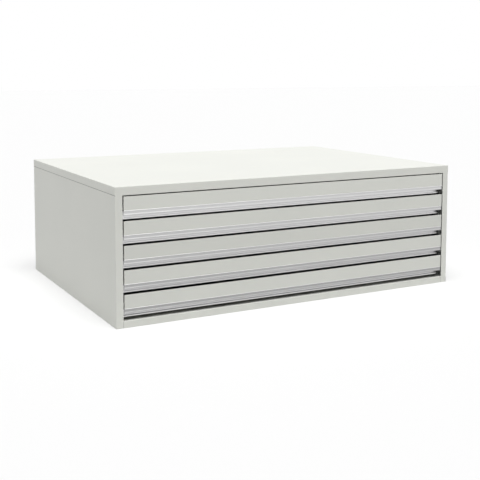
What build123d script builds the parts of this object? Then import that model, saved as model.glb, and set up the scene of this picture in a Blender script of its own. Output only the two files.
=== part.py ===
import os

from build123d import *

# Plan chest for large flat sheets: a folded steel carcass and shallow drawers on telescopic slides.
# Millimetres. X runs along the width, Y from the drawer fronts to the back, Z up from the floor.

# Carcass
chest_width = 1370.0
chest_depth = 965.0
drawer_count = 5
drawer_pitch = 80.0
cap_edge = 28.0  # height of the top's turned-down edge
rail_height = 23.0  # height of the bottom panel's edge
stile_width = 25.0  # folded front edge of each side panel
carcass_sheet = 1.0
carcass_return = 20.0  # last fold of the top and bottom edges
fold_radius = 1.5  # outside of a bend
front_gap = 4.0  # beside the drawer fronts and above the first one
floor_gap = 5.0  # extra room under the last drawer

# Uprights that carry the slides
post_width = 40.0
post_gauge = 1.5
post_setback = 22.0  # behind the stile
rear_post_inset = 12.0  # from the slide's rear end

# Drawer fronts
drawer_sheet = 1.0
front_height = 45.0
front_depth = 24.0
front_lip = 14.0  # last fold along the lower edge, for the screws
fold_notch = 10.0  # the lower folds are cut short at both ends
hem_width = 10.0
hem_gap = 0.4  # between the hem and the sheet

# Extruded handle under each front, with a channel for a label strip
handle_wall = 2.0
channel_height = 15.0
channel_lip = 2.5
channel_recess = 2.0
lip_radius = 1.6  # upper edges of the channel's two lips
handle_height = 31.2
foot_reach = 6.0
foot_radius = 2.0
nose_height = 4.0
nose_radius = 0.9
handle_notch = 3.0  # below the channel the pull is cut short at both ends

# Drawer trays
tray_depth = 899.0
tray_height = 60.0
tray_drop = 12.0  # below the top of the front
tray_return = 12.0
hood_depth = 90.0  # rear fold that keeps the sheets down

# Telescopic slides, three nested members on each side
slide_height = 45.0
slide_thickness = 12.7
slide_gauge = 1.2
slide_play = 0.3
slide_setback = 2.0  # behind the tray's front wall
slide_end_gap = 3.0  # ahead of the tray's rear wall
cabinet_member_depth = 10.5
race_lip = 3.9  # inturned edge that holds the next member
middle_setback = 1.8  # between the webs of the cabinet and middle members
hook_width = 8.0  # tabs that hang a slide in its slots
hook_drop = 5.0
hook_play = 0.3
tray_hook_inset = 90.0  # from both ends of the slide

# Hexagon screws through the tray, the handle and the front
shank_radius = 1.7
shank_play = 0.2
head_radius = 3.2  # to the corners
head_height = 2.4
thread_end = 1.5  # beyond the last sheet
screw_pitch = 900.0
screw_count = 2

# Worked out from the sizes above
chest_height = cap_edge + front_gap + drawer_count * drawer_pitch + floor_gap + rail_height
side_height = chest_height - cap_edge
front_y = -chest_depth / 2
back_y = chest_depth / 2
opening_half = chest_width / 2 - stile_width
front_length = 2 * (opening_half - front_gap)
leg_y = front_y + front_depth
tray_front = leg_y + handle_wall
tray_half = opening_half - slide_thickness
slide_front = tray_front + slide_setback
slide_rear = tray_front + tray_depth - slide_end_gap
slide_length = slide_rear - slide_front
front_post_y = front_y + post_setback + post_width / 2
rear_post_y = slide_rear - rear_post_inset - post_width / 2
post_depth = stile_width - carcass_sheet
front_tops = [side_height - front_gap - n * drawer_pitch for n in range(drawer_count)]
slide_drop = tray_drop + tray_height / 2
screw_drop = front_height - front_lip / 2
hole_radius = shank_radius + shank_play
slide_levels = [top - slide_drop for top in front_tops]
tray_hook_spots = (slide_front + tray_hook_inset, slide_rear - tray_hook_inset)

os.makedirs("parts", exist_ok=True)


def keep(piece, node):
    piece.part.label = node
    export_step(piece.part, f"parts/{node}.step")


# Top cap: one sheet with all four edges turned down and then inwards
with BuildPart() as top_cap:
    with BuildSketch(Plane.XY.offset(side_height)):
        Rectangle(chest_width, chest_depth)
    extrude(amount=cap_edge)
    upper_folds = top_cap.edges().group_by(Axis.Z)[-1]
    side_folds = top_cap.edges().group_by(Axis.Z)[0].filter_by(Axis.Y)
    fillet(upper_folds + side_folds, radius=fold_radius)
    with BuildSketch(Plane.XY.offset(side_height + carcass_sheet)):
        Rectangle(chest_width - 2 * carcass_sheet, chest_depth - 2 * carcass_sheet)
    extrude(amount=cap_edge - 2 * carcass_sheet, mode=Mode.SUBTRACT)
    with BuildSketch(Plane.XY.offset(side_height)):
        Rectangle(chest_width - 2 * carcass_return, chest_depth - 2 * carcass_return)
    extrude(amount=carcass_sheet, mode=Mode.SUBTRACT)
keep(top_cap, "top_cap")

# Bottom panel: the same fold at all edges, and its front edge is the rail under the drawers
with BuildPart() as bottom_panel:
    with BuildSketch():
        Rectangle(2 * opening_half, chest_depth)
    extrude(amount=rail_height)
    fillet(bottom_panel.edges().group_by(Axis.Z)[-1].filter_by(Axis.X), radius=fold_radius)
    with BuildSketch(Plane.XY.offset(carcass_sheet)):
        Rectangle(2 * (opening_half - carcass_sheet), chest_depth - 2 * carcass_sheet)
    extrude(amount=rail_height - 2 * carcass_sheet, mode=Mode.SUBTRACT)
    with BuildSketch():
        Rectangle(2 * (opening_half - carcass_return), chest_depth - 2 * carcass_return)
    extrude(amount=carcass_sheet, mode=Mode.SUBTRACT)
keep(bottom_panel, "bottom_panel")

# Side panel: skin, front stile, rear flange, and a flange above and below
with BuildPart() as side_panel_left:
    with BuildSketch(Plane.YZ.offset(-chest_width / 2)):
        with Locations((0, side_height / 2)):
            Rectangle(chest_depth, side_height)
    extrude(amount=stile_width)
    fillet(side_panel_left.edges().group_by(Axis.X)[0], radius=fold_radius)
    with BuildSketch(Plane.YZ.offset(-chest_width / 2 + carcass_sheet)):
        with Locations((0, side_height / 2)):
            Rectangle(chest_depth - 2 * carcass_sheet, side_height - 2 * carcass_sheet)
    extrude(amount=stile_width - carcass_sheet, mode=Mode.SUBTRACT)
keep(side_panel_left, "side_panel_left")

with BuildPart() as side_panel_right:
    mirror(side_panel_left.part, about=Plane.YZ)
keep(side_panel_right, "side_panel_right")

# Back panel: a flat sheet inside the rear flanges, standing on the bottom panel
with BuildPart() as back_panel:
    with BuildSketch(Plane.XZ.offset(-(back_y - 2 * carcass_sheet))):
        with Locations((0, (rail_height + side_height - carcass_sheet) / 2)):
            Rectangle(chest_width - 2 * carcass_sheet, side_height - carcass_sheet - rail_height)
        with Locations((0, (rail_height + side_height) / 2)):
            Rectangle(2 * opening_half, side_height - rail_height)
    extrude(amount=-carcass_sheet)
keep(back_panel, "back_panel")


# Slots for the hooks: each one is high enough to let the hook in, which then drops by its own height
def cut_slots(hand, near, gauge, spots, way):
    height = hook_drop + slide_gauge + hook_play
    with BuildSketch(Plane.YZ.offset(hand * near)) as slots:
        with Locations(*[(y, level + way * height / 2) for y, level in spots]):
            Rectangle(hook_width + 2 * hook_play, height)
    extrude(slots.sketch, amount=hand * gauge, mode=Mode.SUBTRACT)


# Hooks: a tab on a slide member's web, through a sheet of the given gauge and along its far side
def add_hooks(hand, near, gauge, spots, way):
    reach = gauge + hook_play
    with BuildSketch(Plane.YZ.offset(hand * near)) as stems:
        with Locations(*[(y, level + way * slide_gauge / 2) for y, level in spots]):
            Rectangle(hook_width, slide_gauge)
    extrude(stems.sketch, amount=hand * (reach + slide_gauge))
    with BuildSketch(Plane.YZ.offset(hand * (near + reach))) as tips:
        with Locations(*[(y, level - way * hook_drop / 2) for y, level in spots]):
            Rectangle(hook_width, hook_drop)
    extrude(tips.sketch, amount=hand * slide_gauge)


# Posts: channels between a side panel's flanges, with their webs flush with the stile's inner face
def build_post(hand, centre_y):
    with BuildPart() as post:
        with BuildSketch(Plane.XY.offset(carcass_sheet)):
            with Locations((hand * (opening_half + post_depth / 2), centre_y)):
                Rectangle(post_depth, post_width)
            with Locations((hand * (opening_half + post_gauge + post_depth / 2), centre_y)):
                Rectangle(post_depth, post_width - 2 * post_gauge, mode=Mode.SUBTRACT)
        extrude(amount=side_height - 2 * carcass_sheet)
        cut_slots(hand, opening_half, post_gauge, [(centre_y, level) for level in slide_levels], 1)
    return post


for side_name, hand in (("left", -1), ("right", 1)):
    keep(build_post(hand, front_post_y), f"front_post_{side_name}")
    keep(build_post(hand, rear_post_y), f"rear_post_{side_name}")


# Slides: half of each member's section, mirrored about the slide's middle height
def slide_plane(hand, level):
    return Plane(
        origin=(hand * opening_half, slide_front, level), x_dir=(-hand, 0, 0), z_dir=(0, hand, 0)
    )


def channel_section(near, far, half_height):
    Polyline(
        (near, 0),
        (near, half_height),
        (far, half_height),
        (far, half_height - race_lip),
        (far - slide_gauge, half_height - race_lip),
        (far - slide_gauge, half_height - slide_gauge),
        (near + slide_gauge, half_height - slide_gauge),
        (near + slide_gauge, 0),
    )
    mirror(about=Plane.XZ)


middle_far = cabinet_member_depth - slide_gauge - slide_play
middle_near = slide_gauge + middle_setback
middle_half = slide_height / 2 - slide_gauge - slide_play


def cabinet_member(hand, level):
    with BuildPart() as member:
        with BuildSketch(slide_plane(hand, level)):
            with BuildLine():
                channel_section(0, cabinet_member_depth, slide_height / 2)
            make_face()
        extrude(amount=hand * slide_length)
        spots = [(front_post_y, level), (rear_post_y, level)]
        add_hooks(hand, opening_half, post_gauge, spots, 1)
    return member


def middle_member(hand, level):
    with BuildPart() as member:
        with BuildSketch(slide_plane(hand, level)):
            with BuildLine():
                channel_section(middle_near, middle_far, middle_half)
            make_face()
        extrude(amount=hand * slide_length)
    return member


# The drawer's member is a hat section: its brims run behind the middle member's inturned edges
def drawer_member(hand, level):
    brim_far = middle_far - slide_gauge - slide_play
    brim_half = middle_half - slide_gauge - slide_play
    crown_half = middle_half - race_lip - slide_play
    with BuildPart() as member:
        with BuildSketch(slide_plane(hand, level)):
            with BuildLine():
                Polyline(
                    (slide_thickness, 0),
                    (slide_thickness, crown_half),
                    (brim_far, crown_half),
                    (brim_far, brim_half),
                    (brim_far - slide_gauge, brim_half),
                    (brim_far - slide_gauge, crown_half - slide_gauge),
                    (slide_thickness - slide_gauge, crown_half - slide_gauge),
                    (slide_thickness - slide_gauge, 0),
                )
                mirror(about=Plane.XZ)
            make_face()
        extrude(amount=hand * slide_length)
        add_hooks(-hand, -tray_half, drawer_sheet, [(y, level) for y in tray_hook_spots], -1)
    return member


def screw_spots(top):
    first = -(screw_count - 1) / 2
    return [((first + n) * screw_pitch, top - screw_drop) for n in range(screw_count)]


# Steel front: hemmed along its upper edge, with a channel fold along its lower edge
def drawer_front(top):
    bottom = top - front_height
    fold_length = front_length - 2 * fold_notch
    with BuildPart() as front:
        with BuildSketch(Plane.XZ.offset(-front_y)):
            with Locations((0, top - front_height / 2)):
                Rectangle(front_length, front_height)
        extrude(amount=-drawer_sheet)
        with BuildSketch(Plane.XZ.offset(-front_y)):
            with Locations((0, top - hem_width / 2)):
                Rectangle(front_length, hem_width)
        extrude(amount=-(2 * drawer_sheet + hem_gap))
        fillet(front.edges().filter_by(Axis.X).group_by(Axis.Z)[-1], radius=drawer_sheet)
        with BuildSketch(Plane.XZ.offset(-front_y - drawer_sheet)):
            with Locations((0, top - (hem_width + drawer_sheet) / 2)):
                Rectangle(front_length, hem_width - drawer_sheet)
        extrude(amount=-hem_gap, mode=Mode.SUBTRACT)
        with BuildSketch(Plane.YZ.offset(-fold_length / 2)):
            with Locations(((front_y + leg_y) / 2, bottom + front_lip / 2)):
                Rectangle(front_depth, front_lip)
            with Locations(((front_y + leg_y) / 2, bottom + (front_lip + drawer_sheet) / 2)):
                Rectangle(front_depth - 2 * drawer_sheet, front_lip - drawer_sheet, mode=Mode.SUBTRACT)
        extrude(amount=fold_length)
        face_edges = front.edges().group_by(Axis.Y)[0]
        fillet(face_edges.filter_by(Axis.X).group_by(Axis.Z)[0], radius=drawer_sheet)
        with BuildSketch(Plane.XZ.offset(-leg_y)):
            with Locations(*screw_spots(top)):
                Circle(hole_radius)
        extrude(amount=drawer_sheet, mode=Mode.SUBTRACT)
    return front


# Handle: a leg behind the front for the screws, the label channel, and a hooked foot under the finger space
def drawer_handle(top):
    web_top = top - front_height
    leg_top = web_top + front_lip
    channel_bottom = web_top - channel_height
    foot_bottom = web_top - handle_height
    channel_back = front_y + channel_recess + handle_wall
    nose_y = leg_y - foot_reach
    corners = [
        (front_y, web_top, lip_radius),
        (leg_y, web_top, 0),
        (leg_y, leg_top, 0),
        (tray_front, leg_top, 0),
        (tray_front, foot_bottom, foot_radius + handle_wall),
        (nose_y, foot_bottom, 0),
        (nose_y, foot_bottom + nose_height, nose_radius),
        (nose_y + handle_wall, foot_bottom + nose_height, nose_radius),
        (nose_y + handle_wall, foot_bottom + handle_wall, 0),
        (leg_y, foot_bottom + handle_wall, foot_radius),
        (leg_y, web_top - handle_wall, 0),
        (channel_back, web_top - handle_wall, 0),
        (channel_back, channel_bottom, 0),
        (front_y, channel_bottom, 0),
        (front_y, channel_bottom + channel_lip, lip_radius),
        (front_y + channel_recess, channel_bottom + channel_lip, 0),
        (front_y + channel_recess, web_top - channel_lip, 0),
        (front_y, web_top - channel_lip, 0),
    ]
    with BuildPart() as handle:
        with BuildSketch(Plane.YZ.offset(-front_length / 2)):
            with BuildLine():
                points = [(y, z) for y, z, _ in corners]
                radii = [radius for _, _, radius in corners]
                FilletPolyline(points, radius=radii, close=True)
            make_face()
        extrude(amount=front_length)
        with BuildSketch(Plane.YZ.offset(-front_length / 2)):
            with Locations(((front_y + tray_front) / 2, (channel_bottom + foot_bottom) / 2)):
                Rectangle(tray_front - front_y, channel_bottom - foot_bottom)
        extrude(amount=handle_notch, mode=Mode.SUBTRACT)
        with BuildSketch(Plane.YZ.offset(front_length / 2)):
            with Locations(((front_y + tray_front) / 2, (channel_bottom + foot_bottom) / 2)):
                Rectangle(tray_front - front_y, channel_bottom - foot_bottom)
        extrude(amount=-handle_notch, mode=Mode.SUBTRACT)
        with BuildSketch(Plane.XZ.offset(-leg_y)):
            with Locations(*screw_spots(top)):
                Circle(hole_radius)
        extrude(amount=-handle_wall, mode=Mode.SUBTRACT)
    return handle


# Tray: folded pan with its edges turned in, and a deeper fold over the rear
def drawer_tray(top):
    tray_top = top - tray_drop
    tray_bottom = tray_top - tray_height
    tray_rear = tray_front + tray_depth
    mid_y = (tray_front + tray_rear) / 2
    mouth_front = tray_front + tray_return
    mouth_rear = tray_rear - hood_depth
    with BuildPart() as tray:
        with BuildSketch(Plane.XY.offset(tray_bottom)):
            with Locations((0, mid_y)):
                Rectangle(2 * tray_half, tray_depth)
        extrude(amount=tray_height)
        fillet(tray.edges().filter_by(Axis.Z, reverse=True), radius=fold_radius)
        with BuildSketch(Plane.XY.offset(tray_bottom + drawer_sheet)):
            with Locations((0, mid_y)):
                Rectangle(2 * (tray_half - drawer_sheet), tray_depth - 2 * drawer_sheet)
        extrude(amount=tray_height - 2 * drawer_sheet, mode=Mode.SUBTRACT)
        with BuildSketch(Plane.XY.offset(tray_top)):
            with Locations((0, (mouth_front + mouth_rear) / 2)):
                Rectangle(2 * (tray_half - tray_return), mouth_rear - mouth_front)
        extrude(amount=-drawer_sheet, mode=Mode.SUBTRACT)
        with BuildSketch(Plane.XZ.offset(-tray_front)):
            with Locations(*screw_spots(top)):
                Circle(hole_radius)
        extrude(amount=-drawer_sheet, mode=Mode.SUBTRACT)
        for hand in (-1, 1):
            spots = [(y, top - slide_drop) for y in tray_hook_spots]
            cut_slots(-hand, -tray_half, drawer_sheet, spots, -1)
    return tray


# Screws: heads inside the tray, shanks through its front wall, the handle's leg and the front's lip
def drawer_screws(top):
    with BuildPart() as screws:
        with BuildSketch(Plane.XZ.offset(-(tray_front + drawer_sheet))):
            with Locations(*screw_spots(top)):
                RegularPolygon(head_radius, side_count=6)
        extrude(amount=-head_height)
        with BuildSketch(Plane.XZ.offset(-(tray_front + drawer_sheet))):
            with Locations(*screw_spots(top)):
                Circle(shank_radius)
        extrude(amount=2 * drawer_sheet + handle_wall + thread_end)
    return screws


for number, top in enumerate(front_tops, start=1):
    level = top - slide_drop
    keep(drawer_front(top), f"drawer_{number}_front")
    keep(drawer_handle(top), f"drawer_{number}_handle")
    keep(drawer_tray(top), f"drawer_{number}_tray")
    keep(drawer_screws(top), f"drawer_{number}_screws")
    for side_name, hand in (("left", -1), ("right", 1)):
        keep(cabinet_member(hand, level), f"slide_{number}_cabinet_member_{side_name}")
        keep(middle_member(hand, level), f"slide_{number}_middle_member_{side_name}")
        keep(drawer_member(hand, level), f"slide_{number}_drawer_member_{side_name}")
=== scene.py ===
import math
import bpy
from mathutils import Matrix, Vector

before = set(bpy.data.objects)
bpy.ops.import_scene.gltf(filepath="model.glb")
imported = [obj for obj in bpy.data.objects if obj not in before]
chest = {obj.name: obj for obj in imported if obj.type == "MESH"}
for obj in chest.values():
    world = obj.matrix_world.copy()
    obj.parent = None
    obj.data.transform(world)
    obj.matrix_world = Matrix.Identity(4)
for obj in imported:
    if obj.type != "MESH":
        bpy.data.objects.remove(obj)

scene = bpy.context.scene
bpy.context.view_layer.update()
print("plan chest loaded,", len(chest), "pieces")


class Wire:
    # a node's output, so that shader sums read as plain arithmetic
    def __init__(self, tree, socket):
        self.tree = tree
        self.socket = socket

    def calc(self, operation, *values):
        return self.tree.node("Math", {"operation": operation}, dict(enumerate(values)))

    def __add__(self, other):
        return self.calc("ADD", self, other)

    def __radd__(self, other):
        return self.calc("ADD", other, self)

    def __sub__(self, other):
        return self.calc("SUBTRACT", self, other)

    def __rsub__(self, other):
        return self.calc("SUBTRACT", other, self)

    def __mul__(self, other):
        return self.calc("MULTIPLY", self, other)

    def __rmul__(self, other):
        return self.calc("MULTIPLY", other, self)

    def __truediv__(self, other):
        return self.calc("DIVIDE", self, other)

    def __rtruediv__(self, other):
        return self.calc("DIVIDE", other, self)

    def __abs__(self):
        return self.calc("ABSOLUTE", self)

    def most(self, other):
        return self.calc("MAXIMUM", self, other)

    def fraction(self):
        return self.calc("FRACT", self)

    def ramp(self, low, high):
        # 0 at low, 1 at high, smooth between them; low may be the larger
        settings = {"interpolation_type": "SMOOTHSTEP"}
        sockets = {"Value": self, "From Min": low, "From Max": high}
        return self.tree.node("MapRange", settings, sockets)

    def between(self, low, high, soft):
        # 1 from low to high, with soft edges
        return self.ramp(low - soft, low + soft) * self.ramp(high + soft, high - soft)

    def patchy(self):
        # a noise lies mostly around its middle, so that part is spread out
        return self.ramp(0.3, 0.7)


class Tree:
    # the nodes of one material, or of the world
    def __init__(self, nodeTree):
        self.nodes = nodeTree.nodes
        self.links = nodeTree.links

    def plug(self, slot, value):
        if isinstance(value, Wire):
            self.links.new(value.socket, slot)
        else:
            slot.default_value = value

    def node(self, kind, settings={}, sockets={}, out=0):
        made = self.nodes.new("ShaderNode" + kind)
        for name, value in settings.items():
            setattr(made, name, value)
        for name, value in sockets.items():
            self.plug(made.inputs[name], value)
        return Wire(self, made.outputs[out])

    def spot(self):
        # where a point is on the piece, in metres
        return self.node("TexCoord", out="Object")

    def axes(self, vector):
        # its x, y and z
        first = self.node("SeparateXYZ", {}, {0: vector})
        return [Wire(self, socket) for socket in first.socket.node.outputs]

    def stretched(self, vector, amounts):
        return self.node("VectorMath", {"operation": "MULTIPLY"}, {0: vector, 1: amounts})

    def noise(self, vector, size, detail=2.0):
        return self.node("TexNoise", {}, {"Vector": vector, "Scale": 1 / size, "Detail": detail})

    def tint(self, factor, first, second):
        # from the first colour to the second; either may be a node's output
        first, second = (
            colour if isinstance(colour, Wire) else (*colour, 1) for colour in (first, second)
        )
        return self.node("Mix", {"data_type": "RGBA"}, {0: factor, 6: first, 7: second}, 2)


def newFinish(name, fixed):
    # a material with its shader's fixed values
    material = bpy.data.materials.new(name)
    material.use_nodes = True
    tree = Tree(material.node_tree)
    shader = material.node_tree.nodes["Principled BSDF"].inputs
    for socket, value in fixed.items():
        shader[socket].default_value = value
    return material, tree, shader


def setRelief(tree, shader, height):
    # height in metres
    sockets = {"Strength": 1.0, "Distance": 1.0, "Height": height}
    tree.plug(shader["Normal"], tree.node("Bump", {}, sockets))


def toned(colour, tone):
    return [tone * value for value in colour]


lens = {
    "frame": 480, "focal": 880.4,  # in pixels
    "sensor": 36,  # mm
    "shift": -0.20,  # in widths of the frame
    "place": (-1.6408, -3.1087, 0.8356),
    "turn": 28.156, "tilt": 4.907, "roll": 0.06,  # degrees
}


def setCamera():
    data = bpy.data.cameras.new("camera")
    data.sensor_width = lens["sensor"]
    data.lens = lens["focal"] / lens["frame"] * lens["sensor"]
    data.shift_y = lens["shift"]
    turn, tilt, roll = (math.radians(lens[name]) for name in ("turn", "tilt", "roll"))
    ahead = Vector((
        math.sin(turn) * math.cos(tilt),
        math.cos(turn) * math.cos(tilt),
        -math.sin(tilt),
    ))
    right = ahead.cross(Vector((0, 0, 1))).normalized()
    up = right.cross(ahead)
    axes = (
        math.cos(roll) * right + math.sin(roll) * up,
        math.cos(roll) * up - math.sin(roll) * right,
        -ahead,
    )
    camera = bpy.data.objects.new("camera", data)
    camera.matrix_world = Matrix.Translation(lens["place"]) @ Matrix(axes).transposed().to_4x4()
    scene.collection.objects.link(camera)
    scene.camera = camera


setCamera()
scene.view_settings.view_transform = "Standard"
print("camera set")

studio = {
    "floorSize": 60.0, "floorDrop": 0.0005,  # just clear of the chest
    "floorColour": (0.74, 0.74, 0.735), "floorRoughness": 0.9, "floorSpecular": 0.1,
    "viewColour": (0.84, 0.84, 0.84),  # of the floor as the camera sees it
    "floorLift": 0.3,  # share of plain white in view, the rest keeps the chest's shadow
    "sky": 0.12,  # on the chest, and 1 in view
    "lampPower": 3.4, "lampSpread": 44.0, "lampFrom": (-0.09, -0.265, 1.0),
}


def inView(tree):
    # 1 for rays that carry the picture of the room: straight, mirrored or through glass
    ways = ("Camera", "Glossy", "Transmission")
    straight, mirrored, through = (tree.node("LightPath", out=f"Is {way} Ray") for way in ways)
    return straight.most(mirrored).most(through)


def layFloor():
    half, level = studio["floorSize"] / 2, -studio["floorDrop"]
    corners = [
        (-half, -half, level), (half, -half, level), (half, half, level), (-half, half, level),
    ]
    mesh = bpy.data.meshes.new("floor")
    mesh.from_pydata(corners, [], [(0, 1, 2, 3)])
    floor = bpy.data.objects.new("floor", mesh)
    scene.collection.objects.link(floor)
    fixed = {
        "Roughness": studio["floorRoughness"], "Specular IOR Level": studio["floorSpecular"],
    }
    material, tree, shader = newFinish("pale floor", fixed)
    seen = inView(tree)
    tree.plug(shader["Base Color"], tree.tint(seen, studio["floorColour"], studio["viewColour"]))
    plain = tree.node("Emission", {}, {"Color": (1, 1, 1, 1), "Strength": 1.0})
    lit = Wire(tree, tree.nodes["Principled BSDF"].outputs[0])
    both = tree.node("MixShader", {}, {0: seen * studio["floorLift"], 1: lit, 2: plain})
    tree.plug(tree.nodes["Material Output"].inputs["Surface"], both)
    mesh.materials.append(material)


def lightRoom():
    world = bpy.data.worlds.new("studio")
    world.use_nodes = True
    scene.world = world
    tree = Tree(world.node_tree)
    backdrop = tree.nodes["Background"].inputs
    backdrop["Color"].default_value = (1, 1, 1, 1)
    tree.plug(backdrop["Strength"], studio["sky"] + inView(tree) * (1 - studio["sky"]))
    data = bpy.data.lights.new("soft lamp", "SUN")
    data.energy = studio["lampPower"]
    data.angle = math.radians(studio["lampSpread"])
    lamp = bpy.data.objects.new("soft lamp", data)
    lamp.rotation_mode = "QUATERNION"
    lamp.rotation_quaternion = Vector(studio["lampFrom"]).to_track_quat("Z", "Y")
    scene.collection.objects.link(lamp)


layFloor()
lightRoom()
print("floor and lights set")

# sprayed and baked coat on the folded sheet: a fine grain over a slow orange peel
coat = {
    "colour": (0.745, 0.753, 0.706), "shade": (0.728, 0.737, 0.692), "cloudSize": 1 / 3,
    "tones": (1.005, 0.97, 0.925, 0.96, 0.96),  # from drawer to drawer
    "roughness": 0.42, "unevenness": 0.08, "specular": 0.3, "ior": 1.5,
    "peelSize": 0.0026, "peelDepth": 0.000010,
    "grainSize": 0.0007, "grainDepth": 0.0000025,
    "halfWidth": 0.685, "halfDepth": 0.4825,  # of the chest
    # painted shade where two sheets meet, on their outer faces: a dark line standing in for the
    # shadow in the groove between them
    "seamColour": (0.04, 0.04, 0.04), "seamWidth": 0.0012, "seamSkin": 0.002,
    "capSeam": 0.432,  # height of the line under the cap
    "sheetSeam": 0.660, "railTop": 0.023,  # the lines beside the rail and the back panel
    "sheetSeamStrength": 0.5,
    # spot welds down the rear flanges
    "weldPitch": 0.060, "weldLine": 0.6725, "weldRadius": 0.0028,
    "weldDepth": 0.00015, "weldSkin": 0.001,
}


# painted shade: a dark line along the seam under the cap, and beside the rail and the back panel,
# where the groove would be in shadow
def seamShadeLines(x, y, z):
    width, skin = coat["seamWidth"], coat["seamSkin"]
    side, back = coat["halfWidth"], coat["halfDepth"]
    outside = abs(x).ramp(side - skin, side - skin / 2)
    behind = y.ramp(back - skin, back - skin / 2)
    ahead = y.ramp(skin - back, skin / 2 - back)
    rail = ahead * z.ramp(coat["railTop"], coat["railTop"] - skin / 2)
    under = abs(z - coat["capSeam"]).ramp(width, 0.0) * outside.most(behind)
    beside = abs(abs(x) - coat["sheetSeam"]).ramp(width, 0.0) * rail.most(behind)
    return under.most(beside * coat["sheetSeamStrength"])


def weldDimples(x, y, z):
    pitch, back, skin = coat["weldPitch"], coat["halfDepth"], coat["weldSkin"]
    along = ((z / pitch).fraction() - 0.5) * pitch
    across = abs(x) - coat["weldLine"]
    away = along * along + across * across  # squared
    return away.ramp(coat["weldRadius"] ** 2, 0.0) * y.ramp(back - skin, back - skin / 2)


def coatedSheet(name, tone=1.0, shadedSeams=False, welded=False):
    fixed = {"IOR": coat["ior"], "Specular IOR Level": coat["specular"]}
    material, tree, shader = newFinish(name, fixed)
    spot = tree.spot()
    peel = tree.noise(spot, coat["peelSize"], detail=1.0)
    grain = tree.noise(spot, coat["grainSize"], detail=1.0)
    clouds = tree.noise(spot, coat["cloudSize"], detail=3.0).patchy()
    paint = tree.tint(clouds, toned(coat["shade"], tone), toned(coat["colour"], tone))
    height = peel * coat["peelDepth"] + grain * coat["grainDepth"]
    # painted shade along the seams
    if shadedSeams:
        paint = tree.tint(seamShadeLines(*tree.axes(spot)), paint, coat["seamColour"])
    if welded:
        height = height - weldDimples(*tree.axes(spot)) * coat["weldDepth"]
    tree.plug(shader["Base Color"], paint)
    tree.plug(shader["Roughness"], coat["roughness"] + (grain - 0.5) * coat["unevenness"])
    setRelief(tree, shader, height)
    return material


# drawn aluminium with fine lines along its length; painted highlights on its lips and nose, and
# painted shade and highlight on the wall of its finger space
pull = {
    "colour": (0.70, 0.70, 0.70), "shade": (0.63, 0.63, 0.63),
    # painted shade: the handle metal, its wall and its nose grow darker towards the bottom drawer,
    # standing in for the darker reflections the lower handles catch
    "tones": (0.885, 0.785, 0.695, 0.61, 0.54),  # from drawer to drawer, as the next two are
    "wallTones": (0.99, 0.92, 0.87, 0.81, 0.83),
    "noseTones": (0.97, 0.97, 0.93, 0.95, 0.68),
    "roughness": 0.34, "unevenness": 0.12,
    "lineSize": 0.0004, "bandSize": 0.003, "lineLength": 0.6, "lineDepth": 0.000002,
    "firstTop": 0.428, "pitch": 0.080, "face": -0.4825,  # where the drawer fronts are
    "soft": 0.0004,  # how softly one finish meets the next
    # below a front's top: the lips, the nose, and the finger space's wall, where highlights and shade
    # are painted
    "lipColour": (0.96, 0.96, 0.955), "lowerLipStrength": 0.24,
    "upperLip": 0.0464, "lowerLip": 0.0546, "lipEnd": 0.0582,
    "nose": 0.0719, "noseEnd": 0.0754,
    # painted shade under the lip and painted highlight towards the nose, on the finger space's wall
    "dustyColour": (0.60, 0.60, 0.60), "rubbedColour": (0.90, 0.90, 0.90),
    "dustEnd": 0.066, "rubStart": 0.0715,
    "wallDepth": 0.012,  # the wall begins so far behind the face
}


def drawnAluminium(number):
    material, tree, shader = newFinish(f"drawn aluminium {number}", {"Metallic": 1.0})
    names = ("tones", "wallTones", "noseTones")
    tone, wallLightTone, noseHighlightTone = (pull[name][number - 1] for name in names)
    spot = tree.spot()
    y, z = tree.axes(spot)[1:]
    soft = pull["soft"]
    drop = ((pull["firstTop"] - z) / pull["pitch"]).fraction() * pull["pitch"]
    upper = drop.ramp(pull["upperLip"] + soft, pull["upperLip"] - soft)
    lower = drop.between(pull["lowerLip"], pull["lipEnd"], soft)
    nose = drop.between(pull["nose"], pull["noseEnd"], soft)
    wallHighlight = drop.ramp(pull["dustEnd"], pull["rubStart"])
    inner = (y - pull["face"]).ramp(pull["wallDepth"] - soft, pull["wallDepth"] + soft)
    drawn = tree.stretched(spot, (pull["lineSize"] / pull["lineLength"], 1.0, 1.0))
    lines = tree.noise(drawn, pull["lineSize"])
    marks = ((lines + tree.noise(drawn, pull["bandSize"])) / 2).patchy()
    # painted shade: the metal's tone darkens from drawer to drawer towards the bottom
    metal = tree.tint(marks, toned(pull["shade"], tone), toned(pull["colour"], tone))
    wallShade, bright = (toned(pull[part], wallLightTone) for part in ("dustyColour", "rubbedColour"))
    # painted shade under the lip fading to a painted highlight towards the nose, on the wall behind
    # the face
    metal = tree.tint(inner, metal, tree.tint(wallHighlight, wallShade, bright))
    # painted highlight along the nose
    metal = tree.tint(nose, metal, [noseHighlightTone] * 3)
    # painted highlight along the upper lip, and more faintly along the lower lip
    lipHighlights = upper.most(lower * pull["lowerLipStrength"])
    tree.plug(shader["Base Color"], tree.tint(lipHighlights, metal, pull["lipColour"]))
    tree.plug(shader["Roughness"], pull["roughness"] + (lines - 0.5) * pull["unevenness"])
    setRelief(tree, shader, lines * pull["lineDepth"])
    return material


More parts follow.
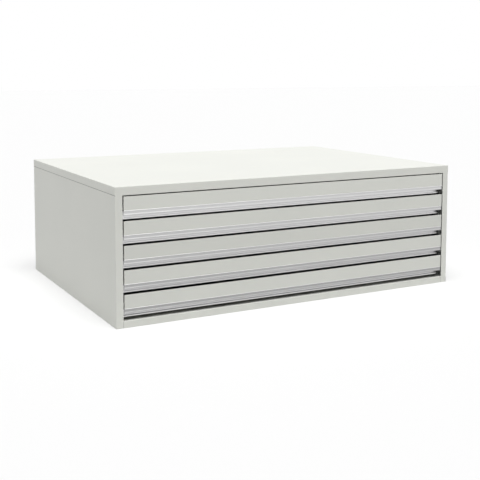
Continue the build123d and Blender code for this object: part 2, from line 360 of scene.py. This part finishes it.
# zinc on rolled steel: soft patches on the posts, streaks along the slides, a warm tint on the screws
zinc = {
    "colour": (0.66, 0.67, 0.68), "shade": (0.52, 0.53, 0.55), "warm": (0.66, 0.63, 0.55),
    "roughness": 0.36, "unevenness": 0.16, "relief": 0.000004,
    "tarnishSize": 0.02, "tarnishShare": 0.4,
    "post": {"stretch": (1.0, 1.0, 0.6), "size": 0.009, "warmth": 0.1},
    "slide": {"stretch": (1.0, 0.0048, 1.0), "size": 0.0012, "warmth": 0.0},
    "screw": {"stretch": (1.0, 1.0, 1.0), "size": 0.0012, "warmth": 0.5},
}


def zincPlate(kind):
    material, tree, shader = newFinish("zinc " + kind, {"Metallic": 1.0})
    own, share = zinc[kind], zinc["tarnishShare"]
    spot = tree.stretched(tree.spot(), own["stretch"])
    marks = tree.noise(spot, own["size"], detail=3.0)
    tarnish = tree.noise(spot, zinc["tarnishSize"])
    bright = [
        cold + (warm - cold) * own["warmth"] for cold, warm in zip(zinc["colour"], zinc["warm"])
    ]
    patches = (marks * (1 - share) + tarnish * share).patchy()
    tree.plug(shader["Base Color"], tree.tint(patches, zinc["shade"], bright))
    tree.plug(shader["Roughness"], zinc["roughness"] + (marks - 0.5) * zinc["unevenness"])
    setRelief(tree, shader, marks * zinc["relief"])
    return material


# one finish for each word in a node's name, and one for each drawer's handle and sheets
finishes = {
    "panel": coatedSheet("coated carcass sheet", shadedSeams=True),
    "side": coatedSheet("coated side sheet", shadedSeams=True, welded=True),
    "post": zincPlate("post"),
    "member": zincPlate("slide"),
    "screws": zincPlate("screw"),
}
for number, tone in enumerate(coat["tones"], start=1):
    finishes[f"handle{number}"] = drawnAluminium(number)
    finishes[f"drawer{number}"] = coatedSheet(f"coated drawer sheet {number}", tone)
print(len(finishes), "finishes made")


def finishFor(name):
    words = name.split("_")
    for kind in ("side", "post", "member", "screws"):
        if kind in words:
            return finishes[kind]
    for kind in ("handle", "drawer"):
        if kind in words:
            return finishes[kind + words[1]]
    return finishes["panel"]


for name, piece in chest.items():
    for slot in piece.material_slots:
        slot.material = finishFor(name)
print("finishes on", len(chest), "pieces")
